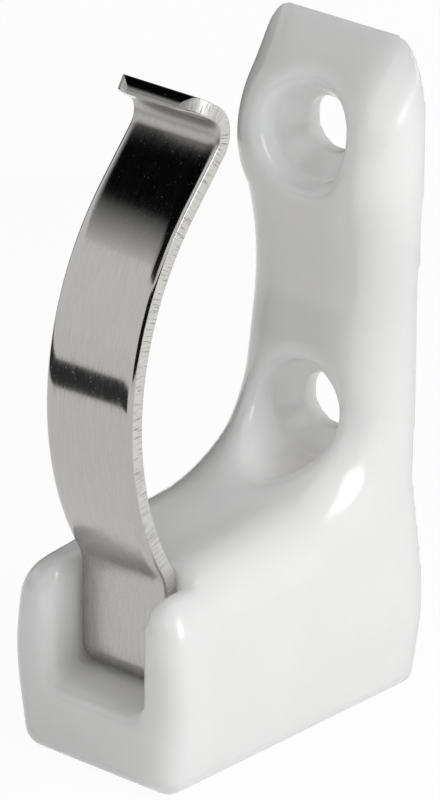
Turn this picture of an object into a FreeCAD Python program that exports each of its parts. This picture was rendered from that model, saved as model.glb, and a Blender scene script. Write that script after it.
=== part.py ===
import FreeCAD, Part
import Sketcher
import math
import os

# Boat hook holder: a moulded nylon bracket and a folded stainless spring strip.
# Millimetres. X is the width and X = 0 the plane of symmetry, the wall is at Y = 0,
# the front is towards -Y, and Z is up. The origin lies on the wall face, midway
# between the two screw holes.

doc = FreeCAD.newDocument("boat_hook_holder")
sheet = doc.addObject("Spreadsheet::Sheet", "sizes")

# Driving dimensions. Heights are above the underside of the block, depths are
# measured out from the wall. A corner is the point where two flat runs would meet
# if the round between them was left out.
SIZES = [
    ("plate_height", 70.5, "top edge of the wall plate"),
    ("rim_depth", 0.4, "corner of the plate's top edge"),
    ("head_depth", 8.5, "corner of the head, where the plate is thickest"),
    ("head_height", 59.8, "corner of the head"),
    ("head_round", 12.4, "round of the head, seen from the side"),
    ("neck_depth", 4.4, "corner of the neck, where the plate is thinnest"),
    ("neck_height", 45.4, "corner of the neck"),
    ("neck_round", 27.0, "round of the neck"),
    ("cradle_depth", 8.05, "corner at the back of the cradle"),
    ("cradle_height", 24.5, "corner at the back of the cradle"),
    ("cradle_round", 12.6, "round that the pole lies against"),
    ("block_depth", 37.3, "front face of the block"),
    ("cheek_height", 21.9, "corner at the top of the front face"),
    ("nose_round", 5.5, "round over the top of the front face"),
    ("base_width", 20.3, "width at the underside"),
    ("belly_width", 23.8, "corner of the barrel-shaped sides"),
    ("belly_height", 10.7, "corner of the barrel-shaped sides"),
    ("belly_round", 27.0, "round of the sides"),
    ("waist_width", 20.15, "corner of the waist"),
    ("waist_height", 23.6, "corner of the waist"),
    ("waist_round", 9.0, "round of the waist"),
    ("head_width", 22.4, "width of the plate at its top edge"),
    ("head_corner", 3.9, "corner radius of the plate"),
    ("crown_round", 6.5, "large round of the plate's and the cheeks' long edges"),
    ("crown_end", 5.0, "that round where it runs out at the plate's top edge"),
    ("block_round", 2.5, "round of the underside's edges and of the block's front edges"),
    ("cheek_round", 1.8, "round of the cheeks' inner edges and of the floor's front edge"),
    ("floor_round", 1.5, "round between the cheeks and the recess floor"),
    ("floor_fall", 1.1, "drop of the recess floor towards the front"),
    ("hole_pitch", 30.0, "distance between the two screw holes"),
    ("lower_hole_height", 29.7, "lower screw hole"),
    ("bore_width", 6.0, "screw bore"),
    ("sink_seat", 1.9, "wall left behind the countersink"),
    ("sink_angle", 90.0, "countersink, in degrees"),
    ("sink_width", 10.6, "clearance round the screw head"),
    ("strip_width", 11.4, "width of the spring strip"),
    ("strip_thickness", 1.8, "thickness of the spring strip"),
    ("leg_setback", 4.5, "front of the strip's leg behind the block's front"),
    ("foot_height", 9.15, "underside of the strip's foot"),
    ("foot_length", 5.5, "straight part of the foot, inside the block"),
    ("foot_play", 0.5, "between the foot's end and the end of its slot"),
    ("foot_bend", 0.5, "inner radius of the bend at the foot"),
    ("knee_bend", 5.0, "inner radius of the bend where the leg turns outwards"),
    ("bow_radius", 33.0, "outer radius of the bow"),
    ("bow_height", 38.8, "centre of the bow"),
    ("bow_reach", 0.65, "how far the bow stands out past the block's front"),
    ("bow_end", 41.0, "where the bow ends, in degrees above its centre"),
    ("flank_length", 6.3, "straight part between the bow and the bend at the mouth"),
    ("crest_bend", 1.85, "inner radius of the bend at the mouth"),
    ("lip_rise", 31.6, "slope of the lip, in degrees"),
    ("lip_length", 3.0, "straight part of the lip"),
    ("lip_corner", 2.3, "corner radius of the lip"),
    ("side_clearance", 0.3, "between the strip and each cheek"),
    ("seat_clearance", 0.05, "under and behind the strip"),
    ("swing_room", 1.2, "room above the foot's end for the strip to tip outwards"),
]
NAME_COLUMN, VALUE_COLUMN, NOTE_COLUMN = "A", "B", "C"
for row, (size_name, size_value, size_note) in enumerate(SIZES, start=1):
    sheet.set(NAME_COLUMN + str(row), size_name)
    sheet.set(VALUE_COLUMN + str(row), str(size_value))
    sheet.set(NOTE_COLUMN + str(row), size_note)
    sheet.setAlias(VALUE_COLUMN + str(row), size_name)
doc.recompute()

# Local axes of the sketches: the side view has depth across and height up,
# the front view has the width across and height up.
AXIS_X = FreeCAD.Vector(1, 0, 0)
AXIS_Y = FreeCAD.Vector(0, 1, 0)
AXIS_Z = FreeCAD.Vector(0, 0, 1)
SIDE_VIEW = FreeCAD.Rotation(-AXIS_Y, AXIS_Z, -AXIS_X, "XYZ")
FRONT_VIEW = FreeCAD.Rotation(AXIS_X, AXIS_Z, -AXIS_Y, "XYZ")
ORIGIN_GEOMETRY = -1
START, END, CENTRE = range(1, 4)


def size(name):
    """The value of a size in the sheet."""
    return float(sheet.get(name))


def formula_value(formula):
    """The value of a formula in the sheet's sizes."""
    return float(sheet.evalExpression(formula))


def bind(sketch, constraint, name, formula):
    """Add a constraint whose value follows a formula."""
    index = sketch.addConstraint(constraint)
    sketch.renameConstraint(index, name)
    sketch.setExpression("Constraints." + name, formula)


# How much of the run between two corners their rounds may take.
ROUNDS_SHARE = 0.9


def fitted_rounds(points, corners):
    """The corners, with two rounds that would meet on a run limited by its length."""
    count = len(points)
    reaches, fitted = [], []
    for index, (across, up, rounding) in enumerate(corners):
        turn = (points[index - 1] - points[index]).getAngle(points[(index + 1) % count] - points[index])
        reaches.append(formula_value(rounding) / math.tan(turn / 2) if rounding else 0.0)
    for index, (across, up, rounding) in enumerate(corners):
        share = 1.0
        for neighbour in (index - 1, (index + 1) % count):
            room = ROUNDS_SHARE * (points[neighbour] - points[index]).Length
            share = min(share, room / max(reaches[index] + reaches[neighbour], room))
        limited = rounding and share < 1.0
        fitted.append((across, up, str(share) + " * (" + rounding + ")" if limited else rounding))
    return fitted


def corner_sketch(name, rotation, corners):
    """A closed sketch through corners given as (across, up, round).

    Each entry is a formula; a sharp corner has None for its round. The corners of
    the rounded ones stay in the sketch as construction points.
    """
    sketch = doc.addObject("Sketcher::SketchObject", name)
    sketch.Placement = FreeCAD.Placement(FreeCAD.Vector(), rotation)
    points = [FreeCAD.Vector(formula_value(a), formula_value(u), 0) for a, u, r in corners]
    count = len(corners)
    corners = fitted_rounds(points, corners)
    enters, leaves, arcs = [], [], []
    for index, (across, up, rounding) in enumerate(corners):
        here = points[index]
        if rounding is None:
            enters.append(here)
            leaves.append(here)
            arcs.append(None)
            continue
        back = (points[index - 1] - here).normalize()
        ahead = (points[(index + 1) % count] - here).normalize()
        radius = formula_value(rounding)
        half_angle = back.getAngle(ahead) / 2
        enters.append(here + back * (radius / math.tan(half_angle)))
        leaves.append(here + ahead * (radius / math.tan(half_angle)))
        centre = here + (back + ahead).normalize() * (radius / math.sin(half_angle))
        turns_left = back.cross(ahead).z < 0
        first, last = (enters[-1], leaves[-1]) if turns_left else (leaves[-1], enters[-1])
        circle = Part.Circle(centre, AXIS_Z, radius)
        arcs.append((circle, circle.parameter(first), circle.parameter(last), turns_left))
    lines = []
    for index in range(count):
        lines.append(sketch.addGeometry(Part.LineSegment(leaves[index], enters[(index + 1) % count])))
    for index, (across, up, rounding) in enumerate(corners):
        before, after = lines[index - 1], lines[index]
        label = name + "_" + str(index)
        if rounding is None:
            sketch.addConstraint(Sketcher.Constraint("Coincident", before, END, after, START))
            marker, marker_point = after, START
        else:
            circle, first, last, turns_left = arcs[index]
            arc = sketch.addGeometry(Part.ArcOfCircle(circle, first, last))
            arc_in, arc_out = (START, END) if turns_left else (END, START)
            marker = sketch.addGeometry(Part.Point(points[index]), True)
            marker_point = START
            sketch.addConstraint(Sketcher.Constraint("PointOnObject", marker, START, before))
            sketch.addConstraint(Sketcher.Constraint("PointOnObject", marker, START, after))
            sketch.addConstraint(Sketcher.Constraint("Tangent", before, END, arc, arc_in))
            sketch.addConstraint(Sketcher.Constraint("Tangent", arc, arc_out, after, START))
            radius = Sketcher.Constraint("Radius", arc, formula_value(rounding))
            bind(sketch, radius, label + "_round", rounding)
        for direction, formula in (("DistanceX", across), ("DistanceY", up)):
            place = Sketcher.Constraint(
                direction, ORIGIN_GEOMETRY, START, marker, marker_point, formula_value(formula)
            )
            bind(sketch, place, label + "_" + direction, formula)
    return sketch


def extrude(name, sketch, direction, length):
    """A solid of the sketch's outline, half its length to each side."""
    solid = doc.addObject("Part::Extrusion", name)
    solid.Base = sketch
    solid.DirMode = "Custom"
    solid.Dir = direction
    solid.Solid = True
    solid.Symmetric = True
    solid.setExpression("LengthFwd", length)
    return solid


def combine(kind, name, base, tool):
    """A cut or a common of two solids."""
    result = doc.addObject(kind, name)
    result.Base = base
    result.Tool = tool
    return result


def round_edges(name, base, radius_of):
    """A fillet of each edge to which radius_of gives radii, one for each of its ends."""
    doc.recompute()
    shape = base.Shape
    rounds = []
    for index, edge in enumerate(shape.Edges, start=1):
        middle = edge.valueAt((edge.FirstParameter + edge.LastParameter) / 2)
        normals = []
        for face in shape.ancestorsOfType(edge, Part.Face):
            normals.append(face.normalAt(*face.Surface.parameter(middle)))
        ends = [edge.valueAt(edge.FirstParameter), edge.valueAt(edge.LastParameter)]
        radii = radius_of(middle, ends, normals) if len(normals) == 2 else None
        if radii:
            rounds.append((index, radii[0], radii[1]))
    fillet = doc.addObject("Part::Fillet", name)
    fillet.Base = base
    fillet.Edges = rounds
    return fillet


# How square to an axis a face has to be, to count as a side, a level or an end face,
# and how sharp an edge has to be, to count as one.
MOSTLY = 0.6
SQUARE = 0.99
NEAR = 0.01
CREASE = math.radians(15)

# Bracket: the side view and the front view are each one outline. The solid that
# both have in common is thicker than the real one at the back and runs on past the
# front, so that the large round of the long edges finds room at both ends.
STOCK = "sizes.crown_round"
HEAD_SLOPE = "(sizes.plate_height - sizes.head_height) / (sizes.head_depth - sizes.rim_depth)"
SLOPE_END = "sizes.head_height + (sizes.head_depth + " + STOCK + ") * " + HEAD_SLOPE
TOP_FALL = "(sizes.cradle_height - sizes.cheek_height) / (sizes.block_depth - sizes.cradle_depth)"
STOCK_FRONT = "2 * sizes.block_depth"
STOCK_TOP = "sizes.cradle_height - (" + STOCK_FRONT + " - sizes.cradle_depth) * " + TOP_FALL
side_corners = [
    ("-" + STOCK, "0", None),
    (STOCK_FRONT, "0", None),
    (STOCK_FRONT, STOCK_TOP, None),
    ("sizes.cradle_depth", "sizes.cradle_height", "sizes.cradle_round"),
    ("sizes.neck_depth", "sizes.neck_height", "sizes.neck_round"),
    ("sizes.head_depth", "sizes.head_height", "sizes.head_round"),
    ("-" + STOCK, SLOPE_END, None),
]


def front_corners(top_round):
    """The front view's outline, right side upwards, then left side downwards."""
    right = [
        ("sizes.base_width / 2", "0", None),
        ("sizes.belly_width / 2", "sizes.belly_height", "sizes.belly_round"),
        ("sizes.waist_width / 2", "sizes.waist_height", "sizes.waist_round"),
        ("sizes.head_width / 2", "sizes.plate_height", top_round),
    ]
    left = [("-" + across, up, rounding) for across, up, rounding in reversed(right)]
    return right + left


FULL_WIDTH = "2 * sizes.belly_width"
FULL_DEPTH = "5 * sizes.block_depth"
side_sketch = corner_sketch("side_outline", SIDE_VIEW, side_corners)
side_solid = extrude("side_solid", side_sketch, AXIS_X, FULL_WIDTH)
front_sketch = corner_sketch("front_outline", FRONT_VIEW, front_corners(None))
front_solid = extrude("front_solid", front_sketch, AXIS_Y, FULL_DEPTH)
blank = combine("Part::Common", "blank", side_solid, front_solid)


def crown_radius(point):
    """The large round of the long edges, which narrows up the head to the plate's top."""
    if point.z < size("head_height"):
        return size("crown_round")
    share = (size("head_depth") + point.y) / (size("head_depth") - size("rim_depth"))
    return size("crown_round") - (size("crown_round") - size("crown_end")) * min(max(share, 0.0), 1.0)


def crown_radii(side):
    """The long edges of the plate, the cradle and the cheeks, on side 1 or -1."""
    def radii(middle, ends, normals):
        at_end = any(abs(normal.y) > SQUARE or normal.z < -SQUARE for normal in normals)
        level_top = any(normal.z > SQUARE for normal in normals) and middle.y > -size("rim_depth") - NEAR
        one_side = sum(abs(normal.x) > MOSTLY for normal in normals) == 1
        if side * middle.x < 0 or at_end or level_top or not one_side:
            return None
        return [crown_radius(end) for end in ends]

    return radii


crowned_right = round_edges("crowned_right", blank, crown_radii(1))
crowned = round_edges("crowned", crowned_right, crown_radii(-1))

# The stock behind the wall face and past the front comes off. The cut rounds over
# the top of the front face as it goes. Then the plate gets its round corners.
CHEEK_START = "(sizes.cradle_depth + sizes.cradle_round)"
CHEEK_START_TOP = "sizes.cradle_height - sizes.cradle_round * " + TOP_FALL
BELOW, ABOVE = "-sizes.block_depth", "2 * sizes.plate_height"
trim_corners = [
    ("0", BELOW, None),
    ("sizes.block_depth", BELOW, None),
    ("sizes.block_depth", "sizes.cheek_height", "sizes.nose_round"),
    (CHEEK_START, CHEEK_START_TOP, None),
    (CHEEK_START, ABOVE, None),
    ("0", ABOVE, None),
]
trim_sketch = corner_sketch("trim_outline", SIDE_VIEW, trim_corners)
trim_solid = extrude("trim_solid", trim_sketch, AXIS_X, FULL_WIDTH)
trimmed = combine("Part::Common", "trimmed", crowned, trim_solid)
head_sketch = corner_sketch("head_outline", FRONT_VIEW, front_corners("sizes.head_corner"))
head_solid = extrude("head_solid", head_sketch, AXIS_Y, FULL_DEPTH)
cornered = combine("Part::Common", "cornered", trimmed, head_solid)

# The recess between the cheeks is open to the front and the top. Its floor falls
# towards the front. Behind it the strip's leg has square corners to stand in, and a
# slot takes the strip's foot.
LEG_FRONT = "(sizes.block_depth - sizes.leg_setback)"
LEG_BACK = "(" + LEG_FRONT + " - sizes.strip_thickness)"
BACK_WALL = "(" + LEG_BACK + " - sizes.seat_clearance)"
FOOT_END = "(" + LEG_BACK + " - sizes.foot_bend - sizes.foot_length)"
SLOT_END = "(" + FOOT_END + " - sizes.foot_play)"
FLOOR = "(sizes.foot_height - sizes.seat_clearance)"
SLOT_ROOF = "(sizes.foot_height + sizes.strip_thickness + sizes.seat_clearance)"
ABOVE_CHEEKS = "(2 * sizes.cheek_height)"
IN_FRONT = "(sizes.block_depth + sizes.leg_setback)"
recess_corners = [
    (LEG_FRONT, ABOVE_CHEEKS, None),
    (LEG_FRONT, FLOOR, None),
    (IN_FRONT, FLOOR + " - 2 * sizes.floor_fall", None),
    (IN_FRONT, ABOVE_CHEEKS, None),
]
slot_corners = [
    (BACK_WALL, ABOVE_CHEEKS, None),
    (BACK_WALL, SLOT_ROOF, "sizes.foot_bend - sizes.seat_clearance"),
    (SLOT_END, SLOT_ROOF + " + sizes.swing_room", None),
    (SLOT_END, FLOOR, None),
    (LEG_FRONT, FLOOR, None),
    (LEG_FRONT, ABOVE_CHEEKS, None),
]
RECESS_WIDTH = "sizes.strip_width + 2 * sizes.side_clearance"
recess_sketch = corner_sketch("recess_outline", SIDE_VIEW, recess_corners)
recess_block = extrude("recess_block", recess_sketch, AXIS_X, RECESS_WIDTH)


def floor_radii(middle, ends, normals):
    """Both long lower edges of the recess."""
    floor_side = any(normal.z < -MOSTLY for normal in normals)
    if floor_side and any(abs(normal.x) > SQUARE for normal in normals):
        return (size("floor_round"), size("floor_round"))
    return None


recess_solid = round_edges("recess_solid", recess_block, floor_radii)
slot_sketch = corner_sketch("slot_outline", SIDE_VIEW, slot_corners)
slot_solid = extrude("slot_solid", slot_sketch, AXIS_X, RECESS_WIDTH)
fronted = combine("Part::Cut", "fronted", cornered, recess_solid)
recessed = combine("Part::Cut", "recessed", fronted, slot_solid)


def block_radii(middle, ends, normals):
    """The underside's edges, the block's front edges and the recess's own rim."""
    depth, aside = -middle.y, abs(middle.x) - formula_value(RECESS_WIDTH) / 2
    if any(normal.y > SQUARE for normal in normals):
        return None
    if any(normal.z < -SQUARE for normal in normals):
        return (size("block_round"), size("block_round"))
    if normals[0].getAngle(normals[1]) < CREASE or depth < formula_value(CHEEK_START):
        return None
    if aside > NEAR:
        return (size("block_round"), size("block_round"))
    on_cheek = any(abs(normal.x) > SQUARE for normal in normals) and abs(aside) < NEAR
    before_wall = depth > formula_value(BACK_WALL) + NEAR
    if (on_cheek and before_wall) or depth > size("block_depth") - NEAR:
        return (size("cheek_round"), size("cheek_round"))
    return None


moulded = round_edges("moulded", recessed, block_radii)

# Screw holes: a bore, a countersink that leaves some wall behind it, and a
# straight clearance for the screw's head in front of it.
SINK_DEPTH = "(sizes.sink_width - sizes.bore_width) / (2 * tan(sizes.sink_angle * 0.5 deg))"
TOWARDS_FRONT = FreeCAD.Rotation(AXIS_X, 90)


def hole_section(kind, name, height, start, sizes_of_section):
    """A round cutter along the screw's axis, from a depth towards the front."""
    section = doc.addObject(kind, name)
    section.Placement.Rotation = TOWARDS_FRONT
    section.setExpression("Placement.Base.y", "-(" + start + ")")
    section.setExpression("Placement.Base.z", height)
    for property_name, formula in sizes_of_section.items():
        section.setExpression(property_name, formula)
    return section


drilled = moulded
for level, height in (
    ("lower", "sizes.lower_hole_height"),
    ("upper", "sizes.lower_hole_height + sizes.hole_pitch"),
):
    bore = hole_section(
        "Part::Cylinder", level + "_bore", height, "-sizes.block_depth",
        {"Radius": "sizes.bore_width / 2", "Height": "2 * sizes.block_depth"},
    )
    sink = hole_section(
        "Part::Cone", level + "_sink", height, "sizes.sink_seat",
        {"Radius1": "sizes.bore_width / 2", "Radius2": "sizes.sink_width / 2", "Height": SINK_DEPTH},
    )
    clearance = hole_section(
        "Part::Cylinder", level + "_clearance", height, "sizes.sink_seat + " + SINK_DEPTH,
        {"Radius": "sizes.sink_width / 2", "Height": "sizes.block_depth"},
    )
    cutter = doc.addObject("Part::MultiFuse", level + "_cutter")
    cutter.Shapes = [bore, sink, clearance]
    drilled = combine("Part::Cut", level + "_hole", drilled, cutter)
bracket = drilled
bracket.Label = "bracket"

# Spring strip: one path along the face towards the pole, from the foot in the slot
# up the leg, round the bow and the crest to the lip, offset outwards by the
# strip's thickness.
FOOT_TOP = "(sizes.foot_height + sizes.strip_thickness)"
KNEE_INNER = "(sizes.knee_bend + sizes.strip_thickness)"
BOW_INNER = "(sizes.bow_radius - sizes.strip_thickness)"
CREST_INNER = "(sizes.crest_bend + sizes.strip_thickness)"
BOW_CENTRE = "(sizes.block_depth + sizes.bow_reach - sizes.bow_radius)"
BOW_TOP = "sizes.bow_height + " + BOW_INNER + " * sin(sizes.bow_end * 1 deg)"


def polar(centre, radius, angle):
    """The point at an angle on a circle in a sketch's own plane."""
    return centre + FreeCAD.Vector(math.cos(angle), math.sin(angle), 0) * radius


def strip_path():
    """The open sketch of the strip's face towards the pole, in the side view."""
    sketch = doc.addObject("Sketcher::SketchObject", "strip_path")
    sketch.Placement = FreeCAD.Placement(FreeCAD.Vector(), SIDE_VIEW)

    def line(first, last):
        return sketch.addGeometry(Part.LineSegment(first, last))

    def arc(centre, radius, first, last):
        return sketch.addGeometry(Part.ArcOfCircle(Part.Circle(centre, AXIS_Z, radius), first, last))

    upright = math.pi / 2
    bow_end = math.radians(size("bow_end"))
    lip_rise = math.radians(size("lip_rise"))
    heel_radius, knee_radius = size("foot_bend"), formula_value(KNEE_INNER)
    bow_radius, crest_radius = formula_value(BOW_INNER), formula_value(CREST_INNER)
    leg_back, foot_top = formula_value(LEG_BACK), formula_value(FOOT_TOP)
    heel_centre = FreeCAD.Vector(leg_back - heel_radius, foot_top + heel_radius, 0)
    bow_centre = FreeCAD.Vector(formula_value(BOW_CENTRE), size("bow_height"), 0)
    knee_across = leg_back + knee_radius - bow_centre.x
    knee_down = math.sqrt((bow_radius + knee_radius) ** 2 - knee_across ** 2)
    knee_centre = bow_centre + FreeCAD.Vector(knee_across, -knee_down, 0)
    knee_angle = math.atan2(-knee_down, knee_across)
    along_flank = FreeCAD.Vector(-math.sin(bow_end), math.cos(bow_end), 0)
    flank_start = polar(bow_centre, bow_radius, bow_end)
    flank_end = flank_start + along_flank * size("flank_length")
    crest_centre = polar(flank_end, crest_radius, bow_end)
    lip_start = polar(crest_centre, crest_radius, lip_rise + upright)
    leg_start, leg_end = polar(heel_centre, heel_radius, 0), polar(knee_centre, knee_radius, math.pi)
    foot_start = FreeCAD.Vector(formula_value(FOOT_END), foot_top, 0)

    foot = line(foot_start, polar(heel_centre, heel_radius, -upright))
    heel = arc(heel_centre, heel_radius, -upright, 0)
    leg = line(leg_start, leg_end)
    knee = arc(knee_centre, knee_radius, knee_angle + math.pi, math.pi)
    bow = arc(bow_centre, bow_radius, knee_angle, bow_end)
    flank = line(flank_start, flank_end)
    crest = arc(crest_centre, crest_radius, lip_rise + upright, bow_end + math.pi)
    lip = line(lip_start, polar(lip_start, size("lip_length"), lip_rise))

    for first, first_point, second, second_point in (
        (foot, END, heel, START),
        (heel, END, leg, START),
        (leg, END, knee, END),
        (knee, START, bow, START),
        (bow, END, flank, START),
        (flank, END, crest, END),
        (crest, START, lip, START),
    ):
        sketch.addConstraint(Sketcher.Constraint("Tangent", first, first_point, second, second_point))
    sketch.addConstraint(Sketcher.Constraint("Horizontal", foot))
    sketch.addConstraint(Sketcher.Constraint("Vertical", leg))
    for name, curve, formula in (
        ("heel_radius", heel, "sizes.foot_bend"),
        ("knee_radius", knee, KNEE_INNER),
        ("bow_radius", bow, BOW_INNER),
        ("crest_radius", crest, CREST_INNER),
    ):
        bind(sketch, Sketcher.Constraint("Radius", curve, formula_value(formula)), name, formula)
    for name, kind, curve, point, formula in (
        ("foot_end", "DistanceX", foot, START, FOOT_END),
        ("foot_top", "DistanceY", foot, START, FOOT_TOP),
        ("leg_back", "DistanceX", leg, START, LEG_BACK),
        ("bow_centre", "DistanceX", bow, CENTRE, BOW_CENTRE),
        ("bow_height", "DistanceY", bow, CENTRE, "sizes.bow_height"),
        ("bow_top", "DistanceY", bow, END, BOW_TOP),
    ):
        place = Sketcher.Constraint(kind, ORIGIN_GEOMETRY, START, curve, point, formula_value(formula))
        bind(sketch, place, name, formula)
    bind(sketch, Sketcher.Constraint("Angle", lip, lip_rise), "lip_rise", "sizes.lip_rise")
    for run, name in ((flank, "flank_length"), (lip, "lip_length")):
        bind(sketch, Sketcher.Constraint("Distance", run, size(name)), name, "sizes." + name)
    return sketch


strip_section = doc.addObject("Part::Offset2D", "strip_section")
strip_section.Source = strip_path()
strip_section.Mode = "Skin"
strip_section.Join = "Arc"
strip_section.Fill = True
strip_section.setExpression("Value", "-sizes.strip_thickness")
strip_blank = extrude("strip_blank", strip_section, AXIS_X, "sizes.strip_width")


def lip_radii(middle, ends, normals):
    """The two corners at the lip's end."""
    at_side = abs(abs(middle.x) - size("strip_width") / 2) < NEAR
    across_sheet = abs((ends[0] - ends[1]).Length - size("strip_thickness")) < NEAR
    if at_side and across_sheet and middle.z > size("bow_height"):
        return (size("lip_corner"), size("lip_corner"))
    return None


strip = round_edges("spring_strip", strip_blank, lip_radii)
strip.Label = "spring_strip"

# Both pieces move down, so that the origin lies midway between the screw holes.
pieces = [bracket, strip]
for piece in pieces:
    piece.setExpression("Placement.Base.z", "-(sizes.lower_hole_height + sizes.hole_pitch / 2)")
doc.recompute()
for made in doc.Objects:
    if "Invalid" in made.State or "Error" in made.State:
        raise RuntimeError(made.Name + " failed: " + str(made.State))
for piece in pieces:
    if piece.Shape.isNull() or not piece.Shape.isValid() or len(piece.Shape.Solids) != 1:
        raise RuntimeError(piece.Label + " is not one valid solid")
for before, after in ((cornered, fronted), (fronted, recessed), (moulded, drilled)):
    if not after.Shape.Volume < before.Shape.Volume:
        raise RuntimeError(after.Name + " removed nothing")
os.makedirs("parts", exist_ok=True)
for piece in pieces:
    piece.Shape.exportStep(os.path.join("parts", piece.Label + ".step"))
    print(piece.Label, "volume", round(piece.Shape.Volume, 1), "box", piece.Shape.BoundBox)
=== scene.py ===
import math

import bpy
from mathutils import Matrix, Vector
from mathutils.kdtree import KDTree


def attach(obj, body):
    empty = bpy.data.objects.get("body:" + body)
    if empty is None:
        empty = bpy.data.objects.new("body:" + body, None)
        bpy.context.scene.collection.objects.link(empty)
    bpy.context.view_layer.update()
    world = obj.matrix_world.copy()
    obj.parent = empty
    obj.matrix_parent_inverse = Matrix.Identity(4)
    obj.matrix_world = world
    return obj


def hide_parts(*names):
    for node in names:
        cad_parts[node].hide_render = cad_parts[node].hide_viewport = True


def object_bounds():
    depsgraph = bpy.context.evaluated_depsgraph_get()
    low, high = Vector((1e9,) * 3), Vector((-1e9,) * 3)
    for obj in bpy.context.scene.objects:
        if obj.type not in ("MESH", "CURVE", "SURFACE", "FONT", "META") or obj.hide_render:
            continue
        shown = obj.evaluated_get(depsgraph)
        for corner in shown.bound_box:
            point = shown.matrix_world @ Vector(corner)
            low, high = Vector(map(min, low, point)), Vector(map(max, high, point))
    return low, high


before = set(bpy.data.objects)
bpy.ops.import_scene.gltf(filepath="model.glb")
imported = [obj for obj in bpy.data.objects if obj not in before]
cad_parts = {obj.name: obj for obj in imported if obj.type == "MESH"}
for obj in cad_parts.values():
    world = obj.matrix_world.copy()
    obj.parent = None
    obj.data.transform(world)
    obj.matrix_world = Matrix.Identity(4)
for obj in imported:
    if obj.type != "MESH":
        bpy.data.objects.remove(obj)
cad_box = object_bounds()
scene = bpy.context.scene

# The bracket is one injection moulding in white nylon, with a thick head, a thin neck,
# a cradle for the pole and a block whose two cheeks stand either side of the strip.
# Two countersunk screws hold it to the wall.

MM = 0.001
MESH_SPACING = 0.3 * MM
WELD_DISTANCE = 0.001 * MM

# Each smoothing step moves a point this share of the way to its neighbours' middle.
STEP_SHARE = 0.5
SKIN_STEPS = 6
EDGE_STEPS = 4
MOUTH_STEPS = 200
RECESS_STEPS = 60

# Each screw hole is straight round the screw's head. Its rim is looked for in front of
# SINK_FLOOR, just past where that part starts, and is soft over MOUTH_SOFTNESS.
SCREW_HEIGHTS = (-15.0 * MM, 15.0 * MM)
SINK_RADIUS = 5.3 * MM
SINK_FLOOR = -4.3 * MM
MOUTH_SOFTNESS = 3.0 * MM

# The recess that the strip stands in has a side wall at either cheek. Near the recess's
# back their rims run out into the cradle, and are soft over RECESS_SOFTNESS.
RECESS_HALF_WIDTH = 6.0 * MM
RECESS_BACK = -31.0 * MM
RECESS_BACK_BAND = 3.0 * MM
RECESS_RIM_LOW = -26.0 * MM
RECESS_SOFTNESS = 1.6 * MM

RIM_BAND = 2 * MESH_SPACING
FACING_OUT = 0.35


def add_object(name, data):
    """A new object in the scene, at the origin."""
    made = bpy.data.objects.new(name, data)
    scene.collection.objects.link(made)
    return made


def as_mesh(made, name):
    """The object with its modifiers applied, as a plain mesh object."""
    evaluated = made.evaluated_get(bpy.context.evaluated_depsgraph_get())
    plain = bpy.data.meshes.new_from_object(evaluated)
    plain.name = name
    bpy.data.objects.remove(made)
    return add_object(name, plain)


def even_mesh(node, name, spacing):
    """A closed copy of a solid with faces of one size, which can be softened like a casting."""
    copied = add_object(name, node.data.copy())
    weld = copied.modifiers.new("weld", "WELD")
    weld.merge_threshold = WELD_DISTANCE
    remesh = copied.modifiers.new("even_faces", "REMESH")
    remesh.mode = "VOXEL"
    remesh.voxel_size = spacing
    return as_mesh(copied, name)


def hole_rims(moulding):
    """The front surface's points close round the screw heads' clearances."""
    found = []
    for vertex in moulding.data.vertices:
        place = vertex.co
        for height in SCREW_HEIGHTS:
            away = math.hypot(place.x, place.z - height)
            at_rim = SINK_RADIUS < away < SINK_RADIUS + RIM_BAND
            if at_rim and place.y < SINK_FLOOR and vertex.normal.y < -FACING_OUT:
                found.append(place.copy())
    return found


def recess_rims(moulding):
    """The points where the cradle runs out into the recess behind the strip."""
    found = []
    for vertex in moulding.data.vertices:
        place = vertex.co
        at_cheek = abs(abs(place.x) - RECESS_HALF_WIDTH) < RIM_BAND
        at_back = abs(place.y - RECESS_BACK) < RECESS_BACK_BAND
        if at_cheek and at_back and place.z > RECESS_RIM_LOW and vertex.normal.z > FACING_OUT:
            found.append(place.copy())
    return found


def weigh(moulding, name, rim_points, reach):
    """A vertex group that is full at a rim and fades out over its reach."""
    rim = KDTree(len(rim_points))
    for index, place in enumerate(rim_points):
        rim.insert(place, index)
    rim.balance()
    group = moulding.vertex_groups.new(name=name)
    for vertex in moulding.data.vertices:
        *_, gap = rim.find(vertex.co)
        if gap < reach:
            share = 1 - gap / reach
            group.add([vertex.index], share * share * (3 - 2 * share), "REPLACE")


def soften(moulding, name, steps, group=""):
    """Smooth the surface, all over or in one vertex group."""
    smooth = moulding.modifiers.new(name, "SMOOTH")
    smooth.factor = STEP_SHARE
    smooth.iterations = steps
    smooth.vertex_group = group


def fit_to(moulding, solid):
    """Draw the even faces back onto the solid's own surface."""
    wrap = moulding.modifiers.new("fit", "SHRINKWRAP")
    wrap.target = solid
    wrap.wrap_method = "NEAREST_SURFACEPOINT"


def feed(tree, sockets, values):
    """Set each socket to its value, or link it where the value is another socket."""
    for socket, value in zip(sockets, values):
        if isinstance(value, bpy.types.NodeSocket):
            tree.links.new(value, socket)
        else:
            socket.default_value = value


def maths(tree, operation, *values):
    """One step of arithmetic on numbers or sockets."""
    node = tree.nodes.new("ShaderNodeMath")
    node.operation = operation
    feed(tree, node.inputs, values)
    return node.outputs["Value"]


def vector_maths(tree, operation, first, second, output="Vector"):
    """One step of arithmetic on vectors or sockets."""
    node = tree.nodes.new("ShaderNodeVectorMath")
    node.operation = operation
    feed(tree, node.inputs, (first, second))
    return node.outputs[output]


def split(tree, vector):
    """The X, Y and Z of a vector, as the outputs of a node."""
    node = tree.nodes.new("ShaderNodeSeparateXYZ")
    tree.links.new(vector, node.inputs["Vector"])
    return node.outputs


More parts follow.
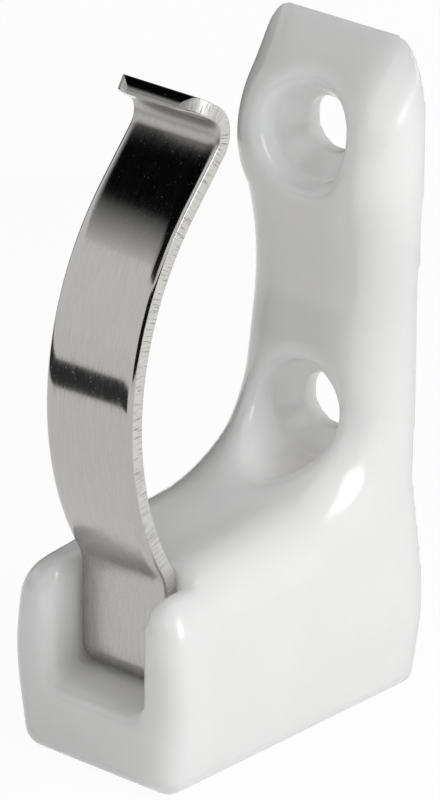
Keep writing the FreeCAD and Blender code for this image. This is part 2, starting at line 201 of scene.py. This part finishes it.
def ranged(tree, value, bounds, results=(0.0, 1.0), kind="SMOOTHSTEP"):
    """A value carried from one range to another."""
    node = tree.nodes.new("ShaderNodeMapRange")
    node.interpolation_type = kind
    names = ("Value", "From Min", "From Max", "To Min", "To Max")
    feed(tree, [node.inputs[name] for name in names], (value, *bounds, *results))
    return node.outputs["Result"]


def mixed(tree, kind, share, first, second):
    """A Color or a Float between two, each given as a value or as a socket."""
    node = tree.nodes.new("ShaderNodeMix")
    node.data_type = {"Color": "RGBA", "Float": "FLOAT"}[kind]
    inputs = {socket.identifier: socket for socket in node.inputs}
    outputs = {socket.identifier: socket for socket in node.outputs}
    feed(tree, (inputs["Factor_Float"], inputs["A_" + kind], inputs["B_" + kind]),
         (share, first, second))
    return outputs["Result_" + kind]


def raised(tree, height, depth):
    """The normal of a surface that stands out by that depth where the height is 1."""
    bump = tree.nodes.new("ShaderNodeBump")
    bump.inputs["Distance"].default_value = depth
    tree.links.new(height, bump.inputs["Height"])
    return bump.outputs["Normal"]


# Noise layers in the grain, how strong each finer one is, and how rare large flecks are.
GRAIN_LAYERS = 4.0
GRAIN_FINENESS = 0.6
FLECK_RARITY = 4.0


def surface_grain():
    """Grain stretched along a surface, and small flecks strewn over it, for both materials."""
    tree = bpy.data.node_groups.new("surface_grain", "ShaderNodeTree")
    sockets = tree.interface
    for name in ("Place", "Stretch"):
        sockets.new_socket(name, in_out="INPUT", socket_type="NodeSocketVector")
    for name in ("Fleck Density", "Fleck Size"):
        sockets.new_socket(name, in_out="INPUT", socket_type="NodeSocketFloat")
    for name in ("Grain", "Flecks"):
        sockets.new_socket(name, in_out="OUTPUT", socket_type="NodeSocketFloat")
    given = tree.nodes.new("NodeGroupInput").outputs
    result = tree.nodes.new("NodeGroupOutput").inputs

    noise = tree.nodes.new("ShaderNodeTexNoise")
    noise.inputs["Scale"].default_value = 1.0
    noise.inputs["Detail"].default_value = GRAIN_LAYERS
    noise.inputs["Roughness"].default_value = GRAIN_FINENESS
    stretched = vector_maths(tree, "MULTIPLY", given["Place"], given["Stretch"])
    tree.links.new(stretched, noise.inputs["Vector"])
    tree.links.new(noise.outputs["Fac"], result["Grain"])

    cells = tree.nodes.new("ShaderNodeTexVoronoi")
    tree.links.new(given["Place"], cells.inputs["Vector"])
    tree.links.new(given["Fleck Density"], cells.inputs["Scale"])
    chance = tree.nodes.new("ShaderNodeSeparateColor")
    tree.links.new(cells.outputs["Color"], chance.inputs["Color"])
    rare = maths(tree, "POWER", chance.outputs["Red"], FLECK_RARITY)
    radius = maths(tree, "MULTIPLY", rare, given["Fleck Size"])
    fleck = ranged(tree, cells.outputs["Distance"], (0.0, radius), (1.0, 0.0))
    tree.links.new(fleck, result["Flecks"])
    return tree


GRAIN = surface_grain()


def place_grain(tree, place, stretch, density=0.0, fleck_size=0.0):
    """The shared grain in a material, on a place in metres."""
    grain = tree.nodes.new("ShaderNodeGroup")
    grain.node_tree = GRAIN
    grain.inputs["Stretch"].default_value = stretch
    grain.inputs["Fleck Density"].default_value = density
    grain.inputs["Fleck Size"].default_value = fleck_size
    tree.links.new(place, grain.inputs["Place"])
    return grain.outputs


NYLON_COLOUR = (0.87, 0.87, 0.86, 1.0)
NYLON_MOTTLE_COLOUR = (0.85, 0.85, 0.84, 1.0)
NYLON_FLECK_COLOUR = (0.62, 0.61, 0.58, 1.0)
NYLON_ROUGHNESS = (0.14, 0.19)
NYLON_INDEX = 1.53
MOTTLES_PER_METRE = 130.0
MOTTLE_SPREAD = (0.25, 0.75)
GRAIN_SPREAD = (0.3, 0.7)
NYLON_FLECKS_PER_METRE = 260.0
NYLON_FLECK_SIZE = 0.05
MOULDED_GRAIN_PER_METRE = 2600.0
MOULDED_GRAIN_HEIGHT = 0.0008 * MM

# Light passes through the nylon. The holes' walls also get painted light: their colour is
# made lighter there. They reach that colour from the first of each pair to the second,
# towards the hole and off the wall.
MILKINESS = 1.0
MILK_DEPTH = 6.0 * MM
MILK_TINT = (1.0, 0.96, 0.92)
HOLE_PAINTED_LIGHT_COLOUR = (0.96, 0.96, 0.95, 1.0)
HOLE_PAINTED_LIGHT_REACH = (7.5 * MM, 5.4 * MM)
HOLE_PAINTED_LIGHT_START = (-1.0 * MM, -3.0 * MM)
ACROSS_HOLES = (1.0, 0.0, 1.0)


def white_nylon():
    """Milky white nylon, glossy from the mould, with faint flow mottling, a rare speck and painted
    light on the holes' walls.
    """
    material = bpy.data.materials.new("white_nylon")
    material.use_nodes = True
    tree = material.node_tree
    shader = tree.nodes["Principled BSDF"].inputs
    place = tree.nodes.new("ShaderNodeTexCoord").outputs["Object"]
    mottle = place_grain(tree, place, (MOTTLES_PER_METRE,) * 3,
                         NYLON_FLECKS_PER_METRE, NYLON_FLECK_SIZE)
    cloud = ranged(tree, mottle["Grain"], MOTTLE_SPREAD)
    colour = mixed(tree, "Color", cloud, NYLON_COLOUR, NYLON_MOTTLE_COLOUR)
    colour = mixed(tree, "Color", mottle["Flecks"], colour, NYLON_FLECK_COLOUR)

    # Painted light: the colour is made lighter on the screw holes' walls, where light coming
    # through the nylon brightens them.
    off_wall = ranged(tree, split(tree, place)["Y"], HOLE_PAINTED_LIGHT_START)
    flat_place = vector_maths(tree, "MULTIPLY", place, ACROSS_HOLES)
    for height in SCREW_HEIGHTS:
        gap = vector_maths(tree, "DISTANCE", flat_place, (0.0, 0.0, height), "Value")
        near_hole = ranged(tree, gap, HOLE_PAINTED_LIGHT_REACH)
        lit = maths(tree, "MULTIPLY", near_hole, off_wall)
        colour = mixed(tree, "Color", lit, colour, HOLE_PAINTED_LIGHT_COLOUR)
    tree.links.new(colour, shader["Base Color"])

    gloss = ranged(tree, mottle["Grain"], GRAIN_SPREAD, NYLON_ROUGHNESS)
    tree.links.new(gloss, shader["Roughness"])
    skin = place_grain(tree, place, (MOULDED_GRAIN_PER_METRE,) * 3)
    tree.links.new(raised(tree, skin["Grain"], MOULDED_GRAIN_HEIGHT), shader["Normal"])
    shader["IOR"].default_value = NYLON_INDEX
    shader["Subsurface Weight"].default_value = MILKINESS
    shader["Subsurface Scale"].default_value = MILK_DEPTH
    shader["Subsurface Radius"].default_value = MILK_TINT
    return material


moulding = even_mesh(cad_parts["bracket"], "bracket_moulding", MESH_SPACING)
weigh(moulding, "mouths", hole_rims(moulding), MOUTH_SOFTNESS)
weigh(moulding, "recess", recess_rims(moulding), RECESS_SOFTNESS)
soften(moulding, "skin", SKIN_STEPS)
fit_to(moulding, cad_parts["bracket"])
soften(moulding, "soft_edges", EDGE_STEPS)
soften(moulding, "soft_mouths", MOUTH_STEPS, "mouths")
soften(moulding, "soft_recess", RECESS_STEPS, "recess")
moulding = as_mesh(moulding, "bracket_moulding")
moulding.data.shade_smooth()
moulding.data.materials.clear()
moulding.data.materials.append(white_nylon())
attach(moulding, "bracket")
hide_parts("bracket")

# The spring strip is one blank of rolled stainless steel, folded into a foot, a leg,
# a bow round the pole, a tight crest and a turned-out lip. Its foot is held in the block.
# Its edges are rolled over on the outside, the face that lay to the blanking die.

# Depths are measured out from the wall, and radii are those of the face to the pole.
UNDERSIDE = cad_box[0].z
STRIP_WIDTH = 11.4 * MM
STRIP_THICKNESS = 1.8 * MM
FOOT_TOP = UNDERSIDE + 10.95 * MM
FOOT_END = 25.0 * MM
HEEL_RADIUS = 0.5 * MM
LEG_BACK = 31.0 * MM
KNEE_RADIUS = 6.8 * MM
BOW_RADIUS = 31.2 * MM
BOW_DEPTH = 4.95 * MM
BOW_HEIGHT = UNDERSIDE + 38.8 * MM
BOW_END = math.radians(41.0)
FLANK_LENGTH = 6.3 * MM
CREST_RADIUS = 3.65 * MM
LIP_RISE = math.radians(31.6)
LIP_LENGTH = 3.0 * MM
LIP_CORNER = 2.3 * MM

# How far the outer edges roll over, across the face and through the sheet.
ROLL_WIDTH = 1.25 * MM
ROLL_DEPTH = 0.45 * MM
LIP_ROLL_LENGTH = 0.6 * MM
LIP_ROLL_DEPTH = 1.15 * MM
INNER_ROUND = 0.14 * MM

HEEL_STEPS = 8
LEG_STEPS = 6
KNEE_STEPS = 14
BOW_STEPS = 72
FLANK_STEPS = 8
CREST_STEPS = 30
LIP_STEPS = 20
INNER_STEPS = 4
ROLL_STEPS = 14

# Where the section's flat runs have points, as shares of the half width or the thickness.
INNER_SHARES = (0.5, 0.9)
SIDE_SHARES = (0.35, 0.6)
OUTER_SHARES = (0.6, 0.3)

UPRIGHT = math.pi / 2


def polar(centre, radius, angle):
    """A point at an angle round a centre."""
    return centre + radius * Vector((math.cos(angle), math.sin(angle)))


def turn(centre, radius, first, last, steps):
    """Points round an arc, its first one left out."""
    sweep = last - first
    return [polar(centre, radius, first + sweep * step / steps) for step in range(1, steps + 1)]


def run(first, last, steps):
    """Points along a straight piece, its first one left out."""
    return [first.lerp(last, step / steps) for step in range(1, steps + 1)]


def strip_line():
    """The strip's face to the pole as (depth, height) points, from the foot's end to the lip's."""
    heel_centre = Vector((LEG_BACK - HEEL_RADIUS, FOOT_TOP + HEEL_RADIUS))
    bow_centre = Vector((BOW_DEPTH, BOW_HEIGHT))
    knee_across = LEG_BACK + KNEE_RADIUS - BOW_DEPTH
    knee_down = math.sqrt((BOW_RADIUS + KNEE_RADIUS) ** 2 - knee_across ** 2)
    knee_centre = bow_centre + Vector((knee_across, -knee_down))
    knee_angle = math.atan2(-knee_down, knee_across)
    bow_last = polar(bow_centre, BOW_RADIUS, BOW_END)
    flank_last = bow_last + FLANK_LENGTH * Vector((-math.sin(BOW_END), math.cos(BOW_END)))
    crest_centre = polar(flank_last, CREST_RADIUS, BOW_END)
    lip_first = polar(crest_centre, CREST_RADIUS, LIP_RISE + UPRIGHT)
    lip_way = Vector((math.cos(LIP_RISE), math.sin(LIP_RISE)))

    line = [Vector((FOOT_END, FOOT_TOP)), Vector((LEG_BACK - HEEL_RADIUS, FOOT_TOP))]
    line += turn(heel_centre, HEEL_RADIUS, -UPRIGHT, 0.0, HEEL_STEPS)
    line += run(Vector((LEG_BACK, heel_centre.y)), Vector((LEG_BACK, knee_centre.y)), LEG_STEPS)
    line += turn(knee_centre, KNEE_RADIUS, math.pi, knee_angle + math.pi, KNEE_STEPS)
    line += turn(bow_centre, BOW_RADIUS, knee_angle, BOW_END, BOW_STEPS)
    line += run(bow_last, flank_last, FLANK_STEPS)
    line += turn(crest_centre, CREST_RADIUS, BOW_END + math.pi, LIP_RISE + UPRIGHT, CREST_STEPS)
    for step in range(LIP_STEPS, -1, -1):
        short_of_end = LIP_CORNER * (1 - math.cos(UPRIGHT * step / LIP_STEPS))
        line.append(lip_first + lip_way * (LIP_LENGTH - short_of_end))
    return line


def quarter(centre, wide, high, start, steps):
    """Points round a quarter of an ellipse, from its starting angle."""
    angles = [start + UPRIGHT * step / steps for step in range(steps + 1)]
    return [(centre[0] + wide * math.cos(angle), centre[1] + high * math.sin(angle))
            for angle in angles]


def sheet_outline():
    """The strip's section as (across, through) points, through counted from the face to the pole.

    They go round by the left, so that the swept faces point outwards.
    """
    half = STRIP_WIDTH / 2
    right = [(half * share, 0.0) for share in INNER_SHARES]
    right += quarter((half - INNER_ROUND, INNER_ROUND), INNER_ROUND, INNER_ROUND,
                     -UPRIGHT, INNER_STEPS)
    right += [(half, STRIP_THICKNESS * share) for share in SIDE_SHARES]
    right += quarter((half - ROLL_WIDTH, STRIP_THICKNESS - ROLL_DEPTH), ROLL_WIDTH, ROLL_DEPTH,
                     0.0, ROLL_STEPS)
    right += [(half * share, STRIP_THICKNESS) for share in OUTER_SHARES]
    left = [(-across, through) for across, through in right]
    return [(0.0, 0.0)] + left + [(0.0, STRIP_THICKNESS)] + right[::-1]


def line_object(name, places, closed=False):
    """An object of points joined by edges in their order."""
    count = len(places)
    joins = count if closed else count - 1
    mesh = bpy.data.meshes.new(name)
    mesh.from_pydata(places, [(index, (index + 1) % count) for index in range(joins)], [])
    return add_object(name, mesh)


def stored(tree, geometry, name, kind, value):
    """The geometry with a named value on each of its points."""
    node = tree.nodes.new("GeometryNodeStoreNamedAttribute")
    node.data_type = kind
    node.inputs["Name"].default_value = name
    tree.links.new(geometry, node.inputs["Geometry"])
    tree.links.new(value, node.inputs["Value"])
    return node.outputs["Geometry"]


def read(tree, name, kind):
    """A named value of the geometry's points."""
    node = tree.nodes.new("GeometryNodeInputNamedAttribute")
    node.data_type = kind
    node.inputs["Name"].default_value = name
    return node.outputs["Attribute"]


def carried(tree, kind, geometry, output, settings=None):
    """The geometry after a node, whose other inputs are set or linked by name."""
    node = tree.nodes.new(kind)
    tree.links.new(geometry, node.inputs[0])
    for name, value in (settings or {}).items():
        feed(tree, (node.inputs[name],), (value,))
    return node.outputs[output]


def rounding(tree, radius, away):
    """How much a round of that radius takes off, a distance away from the end."""
    inside = maths(tree, "SUBTRACT", radius, maths(tree, "MINIMUM", away, radius))
    square = maths(tree, "SUBTRACT", maths(tree, "MULTIPLY", radius, radius),
                   maths(tree, "MULTIPLY", inside, inside))
    left_over = maths(tree, "SQRT", maths(tree, "MAXIMUM", square, 0.0))
    return maths(tree, "SUBTRACT", radius, left_over)


SIDEWAYS = (1.0, 0.0, 0.0)


def sweep_tree():
    """Nodes that sweep the section along the line and round the corners and the edge of its end."""
    tree = bpy.data.node_groups.new("bent_strip", "GeometryNodeTree")
    sockets = tree.interface
    sockets.new_socket("Line", in_out="INPUT", socket_type="NodeSocketGeometry")
    sockets.new_socket("Section", in_out="INPUT", socket_type="NodeSocketObject")
    for name in ("Width", "Thickness", "Corner", "Roll Length", "Roll Depth"):
        sockets.new_socket(name, in_out="INPUT", socket_type="NodeSocketFloat")
    sockets.new_socket("Finish", in_out="INPUT", socket_type="NodeSocketMaterial")
    sockets.new_socket("Strip", in_out="OUTPUT", socket_type="NodeSocketGeometry")
    given = tree.nodes.new("NodeGroupInput").outputs
    result = tree.nodes.new("NodeGroupOutput").inputs

    tangent = tree.nodes.new("GeometryNodeInputTangent").outputs["Tangent"]
    place = tree.nodes.new("GeometryNodeInputPosition").outputs["Position"]
    walked = tree.nodes.new("GeometryNodeSplineParameter").outputs["Length"]
    whole = tree.nodes.new("GeometryNodeSplineLength").outputs["Length"]
    line = carried(tree, "GeometryNodeMeshToCurve", given["Line"], "Curve")
    outward = vector_maths(tree, "CROSS_PRODUCT", SIDEWAYS, tangent)
    line = stored(tree, line, "outward", "FLOAT_VECTOR", outward)
    line = stored(tree, line, "line_place", "FLOAT_VECTOR", place)
    line = stored(tree, line, "along", "FLOAT", walked)
    line = stored(tree, line, "from_lip", "FLOAT", maths(tree, "SUBTRACT", whole, walked))

    section = carried(tree, "GeometryNodeObjectInfo", given["Section"], "Geometry")
    section = carried(tree, "GeometryNodeMeshToCurve", section, "Curve")
    section = stored(tree, section, "section_place", "FLOAT_VECTOR", place)
    swept = carried(tree, "GeometryNodeCurveToMesh", line, "Mesh",
                    {"Profile Curve": section, "Fill Caps": True})

    sheet = split(tree, read(tree, "section_place", "FLOAT_VECTOR"))
    from_lip = read(tree, "from_lip", "FLOAT")
    half_width = maths(tree, "DIVIDE", given["Width"], 2.0)
    corner = rounding(tree, given["Corner"], from_lip)
    narrowed = maths(tree, "SUBTRACT", 1.0, maths(tree, "DIVIDE", corner, half_width))
    across = maths(tree, "MULTIPLY", sheet["X"], narrowed)
    steepness = maths(tree, "DIVIDE", given["Roll Depth"], given["Roll Length"])
    roll = maths(tree, "MULTIPLY", rounding(tree, given["Roll Length"], from_lip), steepness)
    thinned = maths(tree, "SUBTRACT", 1.0, maths(tree, "DIVIDE", roll, given["Thickness"]))
    through = maths(tree, "ADD", roll, maths(tree, "MULTIPLY", sheet["Y"], thinned))

    aside = vector_maths(tree, "MULTIPLY", SIDEWAYS, across)
    outside = vector_maths(tree, "MULTIPLY", read(tree, "outward", "FLOAT_VECTOR"), through)
    target = vector_maths(tree, "ADD", read(tree, "line_place", "FLOAT_VECTOR"), aside)
    target = vector_maths(tree, "ADD", target, outside)
    shaped = carried(tree, "GeometryNodeSetPosition", swept, "Geometry", {"Position": target})

    sheet_place = tree.nodes.new("ShaderNodeCombineXYZ")
    feed(tree, sheet_place.inputs, (sheet["X"], read(tree, "along", "FLOAT"), sheet["Y"]))
    shaped = stored(tree, shaped, "sheet_place", "FLOAT_VECTOR", sheet_place.outputs["Vector"])
    smooth = carried(tree, "GeometryNodeSetShadeSmooth", shaped, "Geometry")
    real = carried(tree, "GeometryNodeRealizeInstances", smooth, "Geometry")
    finished = carried(tree, "GeometryNodeSetMaterial", real, "Geometry",
                       {"Material": given["Finish"]})
    tree.links.new(finished, result["Strip"])
    return tree


STEEL_COLOUR = (0.47, 0.46, 0.45, 1.0)
STEEL_STREAK_COLOUR = (0.43, 0.425, 0.42, 1.0)
STEEL_FLECK_COLOUR = (0.62, 0.62, 0.62, 1.0)
STEEL_ROUGHNESS = (0.07, 0.13)
ROLLED_GRAIN_PER_METRE = (9000.0, 500.0, 3000.0)
ROLLED_GRAIN_HEIGHT = 0.0012 * MM
STEEL_FLECKS_PER_METRE = 4200.0
STEEL_FLECK_SIZE = 0.35

# What is added to the roughness: over the crest, counted back from the lip's end, down
# the leg, counted along from the foot's end, and at each fleck.
CREST_ROUGHNESS = 0.3
CREST_ZONE = (12.0 * MM, 7.5 * MM)
LIP_ZONE = (1.5 * MM, 3.5 * MM)
LEG_ROUGHNESS = 0.16
LEG_ZONE = (27.0 * MM, 17.0 * MM)
FLECK_ROUGHNESS = 0.3

# The sheared edges lie below the roll at the sides, and on the outer half at the lip's end.
SHEARED_COLOUR = (0.62, 0.615, 0.6, 1.0)
SHEARED_ROUGHNESS = 0.48
SHEAR_MARK_COLOUR = (0.3, 0.3, 0.3, 1.0)
SHEAR_MARKS_PER_METRE = (0.0, 7000.0, 500.0)
SHEAR_MARK_SPREAD = (0.55, 0.68)
SHEAR_MARK_HEIGHT = 0.05 * MM
SIDE_BAND = (0.1 * MM, 0.02 * MM)
ROLL_BAND = (STRIP_THICKNESS - ROLL_DEPTH, STRIP_THICKNESS - 0.7 * ROLL_DEPTH)
END_BAND = (0.2 * MM, 0.05 * MM)
TORN_BAND = (0.45 * STRIP_THICKNESS, 0.55 * STRIP_THICKNESS)


def strip_value(tree, name, output):
    """A named value that the sweep left on the strip."""
    node = tree.nodes.new("ShaderNodeAttribute")
    node.attribute_name = name
    return node.outputs[output]


def sheared_share(tree, sheet, from_lip):
    """1 on the edges that the die sheared, 0 on the rolled faces."""
    from_side = maths(tree, "SUBTRACT", STRIP_WIDTH / 2, maths(tree, "ABSOLUTE", sheet["X"]))
    at_side = ranged(tree, from_side, SIDE_BAND)
    below_roll = ranged(tree, sheet["Z"], ROLL_BAND, (1.0, 0.0))
    at_end = ranged(tree, from_lip, END_BAND)
    torn = ranged(tree, sheet["Z"], TORN_BAND)
    return maths(tree, "MAXIMUM", maths(tree, "MULTIPLY", at_side, below_roll),
                 maths(tree, "MULTIPLY", at_end, torn))


def worked_roughness(tree, sheet, from_lip, flecks):
    """What the crest, the leg and the flecks add to the roughness."""
    crest = maths(tree, "MULTIPLY", ranged(tree, from_lip, CREST_ZONE),
                  ranged(tree, from_lip, LIP_ZONE))
    leg = ranged(tree, sheet["Y"], LEG_ZONE)
    worked = maths(tree, "ADD", maths(tree, "MULTIPLY", crest, CREST_ROUGHNESS),
                   maths(tree, "MULTIPLY", leg, LEG_ROUGHNESS))
    return maths(tree, "ADD", worked, maths(tree, "MULTIPLY", flecks, FLECK_ROUGHNESS))


def rolled_stainless():
    """Bright rolled steel with grain along the strip, and sheared edges with marks through it."""
    material = bpy.data.materials.new("rolled_stainless")
    material.use_nodes = True
    tree = material.node_tree
    shader = tree.nodes["Principled BSDF"].inputs
    place = strip_value(tree, "sheet_place", "Vector")
    from_lip = strip_value(tree, "from_lip", "Fac")
    sheet = split(tree, place)
    rolled = place_grain(tree, place, ROLLED_GRAIN_PER_METRE,
                         STEEL_FLECKS_PER_METRE, STEEL_FLECK_SIZE)
    shear = place_grain(tree, place, SHEAR_MARKS_PER_METRE)
    sheared = sheared_share(tree, sheet, from_lip)

    streak = ranged(tree, rolled["Grain"], GRAIN_SPREAD)
    face = mixed(tree, "Color", streak, STEEL_COLOUR, STEEL_STREAK_COLOUR)
    face = mixed(tree, "Color", rolled["Flecks"], face, STEEL_FLECK_COLOUR)
    marks = ranged(tree, shear["Grain"], SHEAR_MARK_SPREAD)
    edge = mixed(tree, "Color", marks, SHEARED_COLOUR, SHEAR_MARK_COLOUR)
    tree.links.new(mixed(tree, "Color", sheared, face, edge), shader["Base Color"])

    rough = maths(tree, "ADD", ranged(tree, rolled["Grain"], GRAIN_SPREAD, STEEL_ROUGHNESS),
                  worked_roughness(tree, sheet, from_lip, rolled["Flecks"]))
    rough = mixed(tree, "Float", sheared, rough, SHEARED_ROUGHNESS)
    tree.links.new(rough, shader["Roughness"])

    # The height is in shares of the marks' depth, and the marks are cut into the edge.
    grain_height = maths(tree, "MULTIPLY", rolled["Grain"],
                         ROLLED_GRAIN_HEIGHT / SHEAR_MARK_HEIGHT)
    height = maths(tree, "SUBTRACT", grain_height, maths(tree, "MULTIPLY", marks, sheared))
    tree.links.new(raised(tree, height, SHEAR_MARK_HEIGHT), shader["Normal"])
    shader["Metallic"].default_value = 1.0
    return material


line = line_object("strip_line", [(0.0, -depth, height) for depth, height in strip_line()])
section = line_object("strip_section",
                      [(across, through, 0.0) for across, through in sheet_outline()],
                      closed=True)
bending = line.modifiers.new("bending", "NODES")
bending.node_group = sweep_tree()
bending_inputs = {
    "Section": section, "Width": STRIP_WIDTH, "Thickness": STRIP_THICKNESS, "Corner": LIP_CORNER,
    "Roll Length": LIP_ROLL_LENGTH, "Roll Depth": LIP_ROLL_DEPTH, "Finish": rolled_stainless()}
for socket in bending.node_group.interface.items_tree:
    if socket.in_out == "INPUT" and socket.name in bending_inputs:
        bending[socket.identifier] = bending_inputs[socket.name]
strip = as_mesh(line, "rolled_strip")
bpy.data.objects.remove(section)
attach(strip, "strip")
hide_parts("spring_strip")

# The part stands on its flat underside, on a plain white floor before a white background.
# One large soft lamp stands to its right, and the background lights it from all round.
# Cards stand where the bright steel and the glossy nylon mirror them.

FLOOR_HALF = 3.0
FLOOR_COLOUR = (0.92, 0.92, 0.92, 1.0)
FLOOR_OWN_WHITE = 0.95
WORLD_LEVEL = 0.5
WHITE = (1.0, 1.0, 1.0, 1.0)
FULL_RANGE = (0.0, 1.0)
MIDDLE = (cad_box[0] + cad_box[1]) / 2
CARD_STEPS = 12


def seen_share(tree):
    """1 for what the camera, metal and glass see, 0 for the light that falls on the object."""
    path = tree.nodes.new("ShaderNodeLightPath").outputs
    share = path["Is Camera Ray"]
    for other in ("Is Glossy Ray", "Is Transmission Ray"):
        share = maths(tree, "MAXIMUM", share, path[other])
    return share


def white_floor():
    """A matt white floor that the camera sees as white, less a little of the shadow on it."""
    material = bpy.data.materials.new("white_floor")
    material.use_nodes = True
    tree = material.node_tree
    tree.nodes.clear()
    output = tree.nodes.new("ShaderNodeOutputMaterial")
    matt = tree.nodes.new("ShaderNodeBsdfDiffuse")
    matt.inputs["Color"].default_value = FLOOR_COLOUR
    white = tree.nodes.new("ShaderNodeEmission")
    mix = tree.nodes.new("ShaderNodeMixShader")
    own_white = ranged(tree, seen_share(tree), FULL_RANGE, (0.0, FLOOR_OWN_WHITE), "LINEAR")
    feed(tree, mix.inputs, (own_white, matt.outputs["BSDF"], white.outputs["Emission"]))
    tree.links.new(mix.outputs["Shader"], output.inputs["Surface"])
    return material


def from_middle(azimuth, elevation, distance):
    """A place that far from the part's middle, the azimuth counted from the front to the right."""
    around, rise = math.radians(azimuth), math.radians(elevation)
    return MIDDLE + distance * Vector((math.sin(around) * math.cos(rise),
                                       -math.cos(around) * math.cos(rise), math.sin(rise)))


def lamp(name, azimuth, elevation, distance, size, watts):
    """A square soft lamp turned to the part's middle."""
    light = bpy.data.lights.new(name, "AREA")
    light.size = size
    light.energy = watts
    made = add_object(name, light)
    made.location = from_middle(azimuth, elevation, distance)
    made.rotation_mode = "QUATERNION"
    made.rotation_quaternion = (MIDDLE - made.location).to_track_quat("-Z", "Y")


def glow(name, heights, levels):
    """A plain light that goes from one level at the lower height to another at the upper."""
    material = bpy.data.materials.new(name)
    material.use_nodes = True
    tree = material.node_tree
    tree.nodes.clear()
    output = tree.nodes.new("ShaderNodeOutputMaterial")
    shine = tree.nodes.new("ShaderNodeEmission")
    place = tree.nodes.new("ShaderNodeTexCoord").outputs["Object"]
    tree.links.new(ranged(tree, split(tree, place)["Z"], heights, levels, "LINEAR"),
                   shine.inputs["Strength"])
    tree.links.new(shine.outputs["Emission"], output.inputs["Surface"])
    return material


def card(name, azimuths, elevations, distance, levels, mirrored=True):
    """A curved card round the part, which shiny surfaces mirror, or which only shades dull ones."""
    count = CARD_STEPS + 1
    wide, high = azimuths[1] - azimuths[0], elevations[1] - elevations[0]
    corners = [from_middle(azimuths[0] + wide * across / CARD_STEPS,
                           elevations[0] + high * up / CARD_STEPS, distance)
               for up in range(count) for across in range(count)]
    faces = []
    for row in range(CARD_STEPS):
        for column in range(CARD_STEPS):
            low = row * count + column
            faces.append((low, low + 1, low + count + 1, low + count))
    mesh = bpy.data.meshes.new(name)
    mesh.from_pydata(corners, [], faces)
    mesh.materials.append(glow(name, (corners[0].z, corners[-1].z), levels))
    made = add_object(name, mesh)
    made.visible_camera = made.visible_transmission = False
    made.visible_volume_scatter = made.visible_shadow = False
    made.visible_glossy = mirrored
    made.visible_diffuse = not mirrored


floor_mesh = bpy.data.meshes.new("floor")
floor_mesh.from_pydata(
    [(x * FLOOR_HALF, y * FLOOR_HALF, UNDERSIDE) for x, y in ((-1, -1), (1, -1), (1, 1), (-1, 1))],
    [], [(0, 1, 2, 3)])
floor_mesh.materials.append(white_floor())
floor = add_object("floor", floor_mesh)

world = bpy.data.worlds.new("studio")
scene.world = world
world.use_nodes = True
background = world.node_tree.nodes["Background"]
background.inputs["Color"].default_value = WHITE
world.node_tree.links.new(
    ranged(world.node_tree, seen_share(world.node_tree), FULL_RANGE, (WORLD_LEVEL, 1.0), "LINEAR"),
    background.inputs["Strength"])

lamp("key", azimuth=94, elevation=28, distance=0.7, size=0.37, watts=2.25)

# The upper part of the bow mirrors the black card above, which ends in a short fade.
card("flag_above", azimuths=(-178, 8), elevations=(38, 88), distance=0.4, levels=(0.003, 0.003))
card("flag_above_edge", azimuths=(-178, 8), elevations=(26, 38), distance=0.4, levels=(0.8, 0.003))

# A narrow card gives the dark band across the bow.
card("flag_low", azimuths=(-80, -10), elevations=(-12.5, -4.5), distance=0.15, levels=(0.04, 0.04))

# The strip's rolled near edge mirrors the card in front, and the crest's near corner the
# two corner cards.
card("flag_front", azimuths=(4, 66), elevations=(-35, 24), distance=0.45, levels=(0.01, 0.01))
card("flag_corner", azimuths=(-26, 6), elevations=(27, 44), distance=0.35, levels=(0.01, 0.01))
card("flag_corner_side", azimuths=(54, 78), elevations=(30, 46), distance=0.35, levels=(0.1, 0.1))

# Dark cards on the far side and behind keep the nylon's far rims from fading into the
# white, and flag_left only shades them.
card("flag_far", azimuths=(-150, -88), elevations=(-12, 26), distance=0.15, levels=(0.06, 0.06))
card("flag_behind", azimuths=(-178, -100), elevations=(-12, 50), distance=0.16, levels=(0.03, 0.03))
card("flag_left", azimuths=(-140, -58), elevations=(-12, 60), distance=0.16, levels=(0.06, 0.06),
     mirrored=False)

# The camera stands to the right of the front and a little above, at the distance and with
# the roll that the photograph's own perspective gives.

CAMERA_RIGHT = Vector((0.747722, 0.663985, 0.005972))
CAMERA_UP = Vector((-0.264117, 0.289151, 0.920127))
CAMERA_AIM = Vector((-0.000400, -0.017887, -0.010059))
CAMERA_DISTANCE = 0.6929
FOCAL_LENGTH_PIXELS = 6932.0
PICTURE_HEIGHT_PIXELS = 800.0
SENSOR_HEIGHT = 36.0

camera_data = bpy.data.cameras.new("camera")
camera_data.lens = FOCAL_LENGTH_PIXELS * SENSOR_HEIGHT / PICTURE_HEIGHT_PIXELS
camera_data.sensor_width = SENSOR_HEIGHT
camera = add_object("camera", camera_data)
camera_back = CAMERA_RIGHT.cross(CAMERA_UP).normalized()
camera.matrix_world = Matrix.LocRotScale(
    CAMERA_AIM + camera_back * CAMERA_DISTANCE,
    Matrix((CAMERA_RIGHT, CAMERA_UP, camera_back)).transposed(),
    None)
scene.camera = camera

scene.view_settings.view_transform = "Standard"
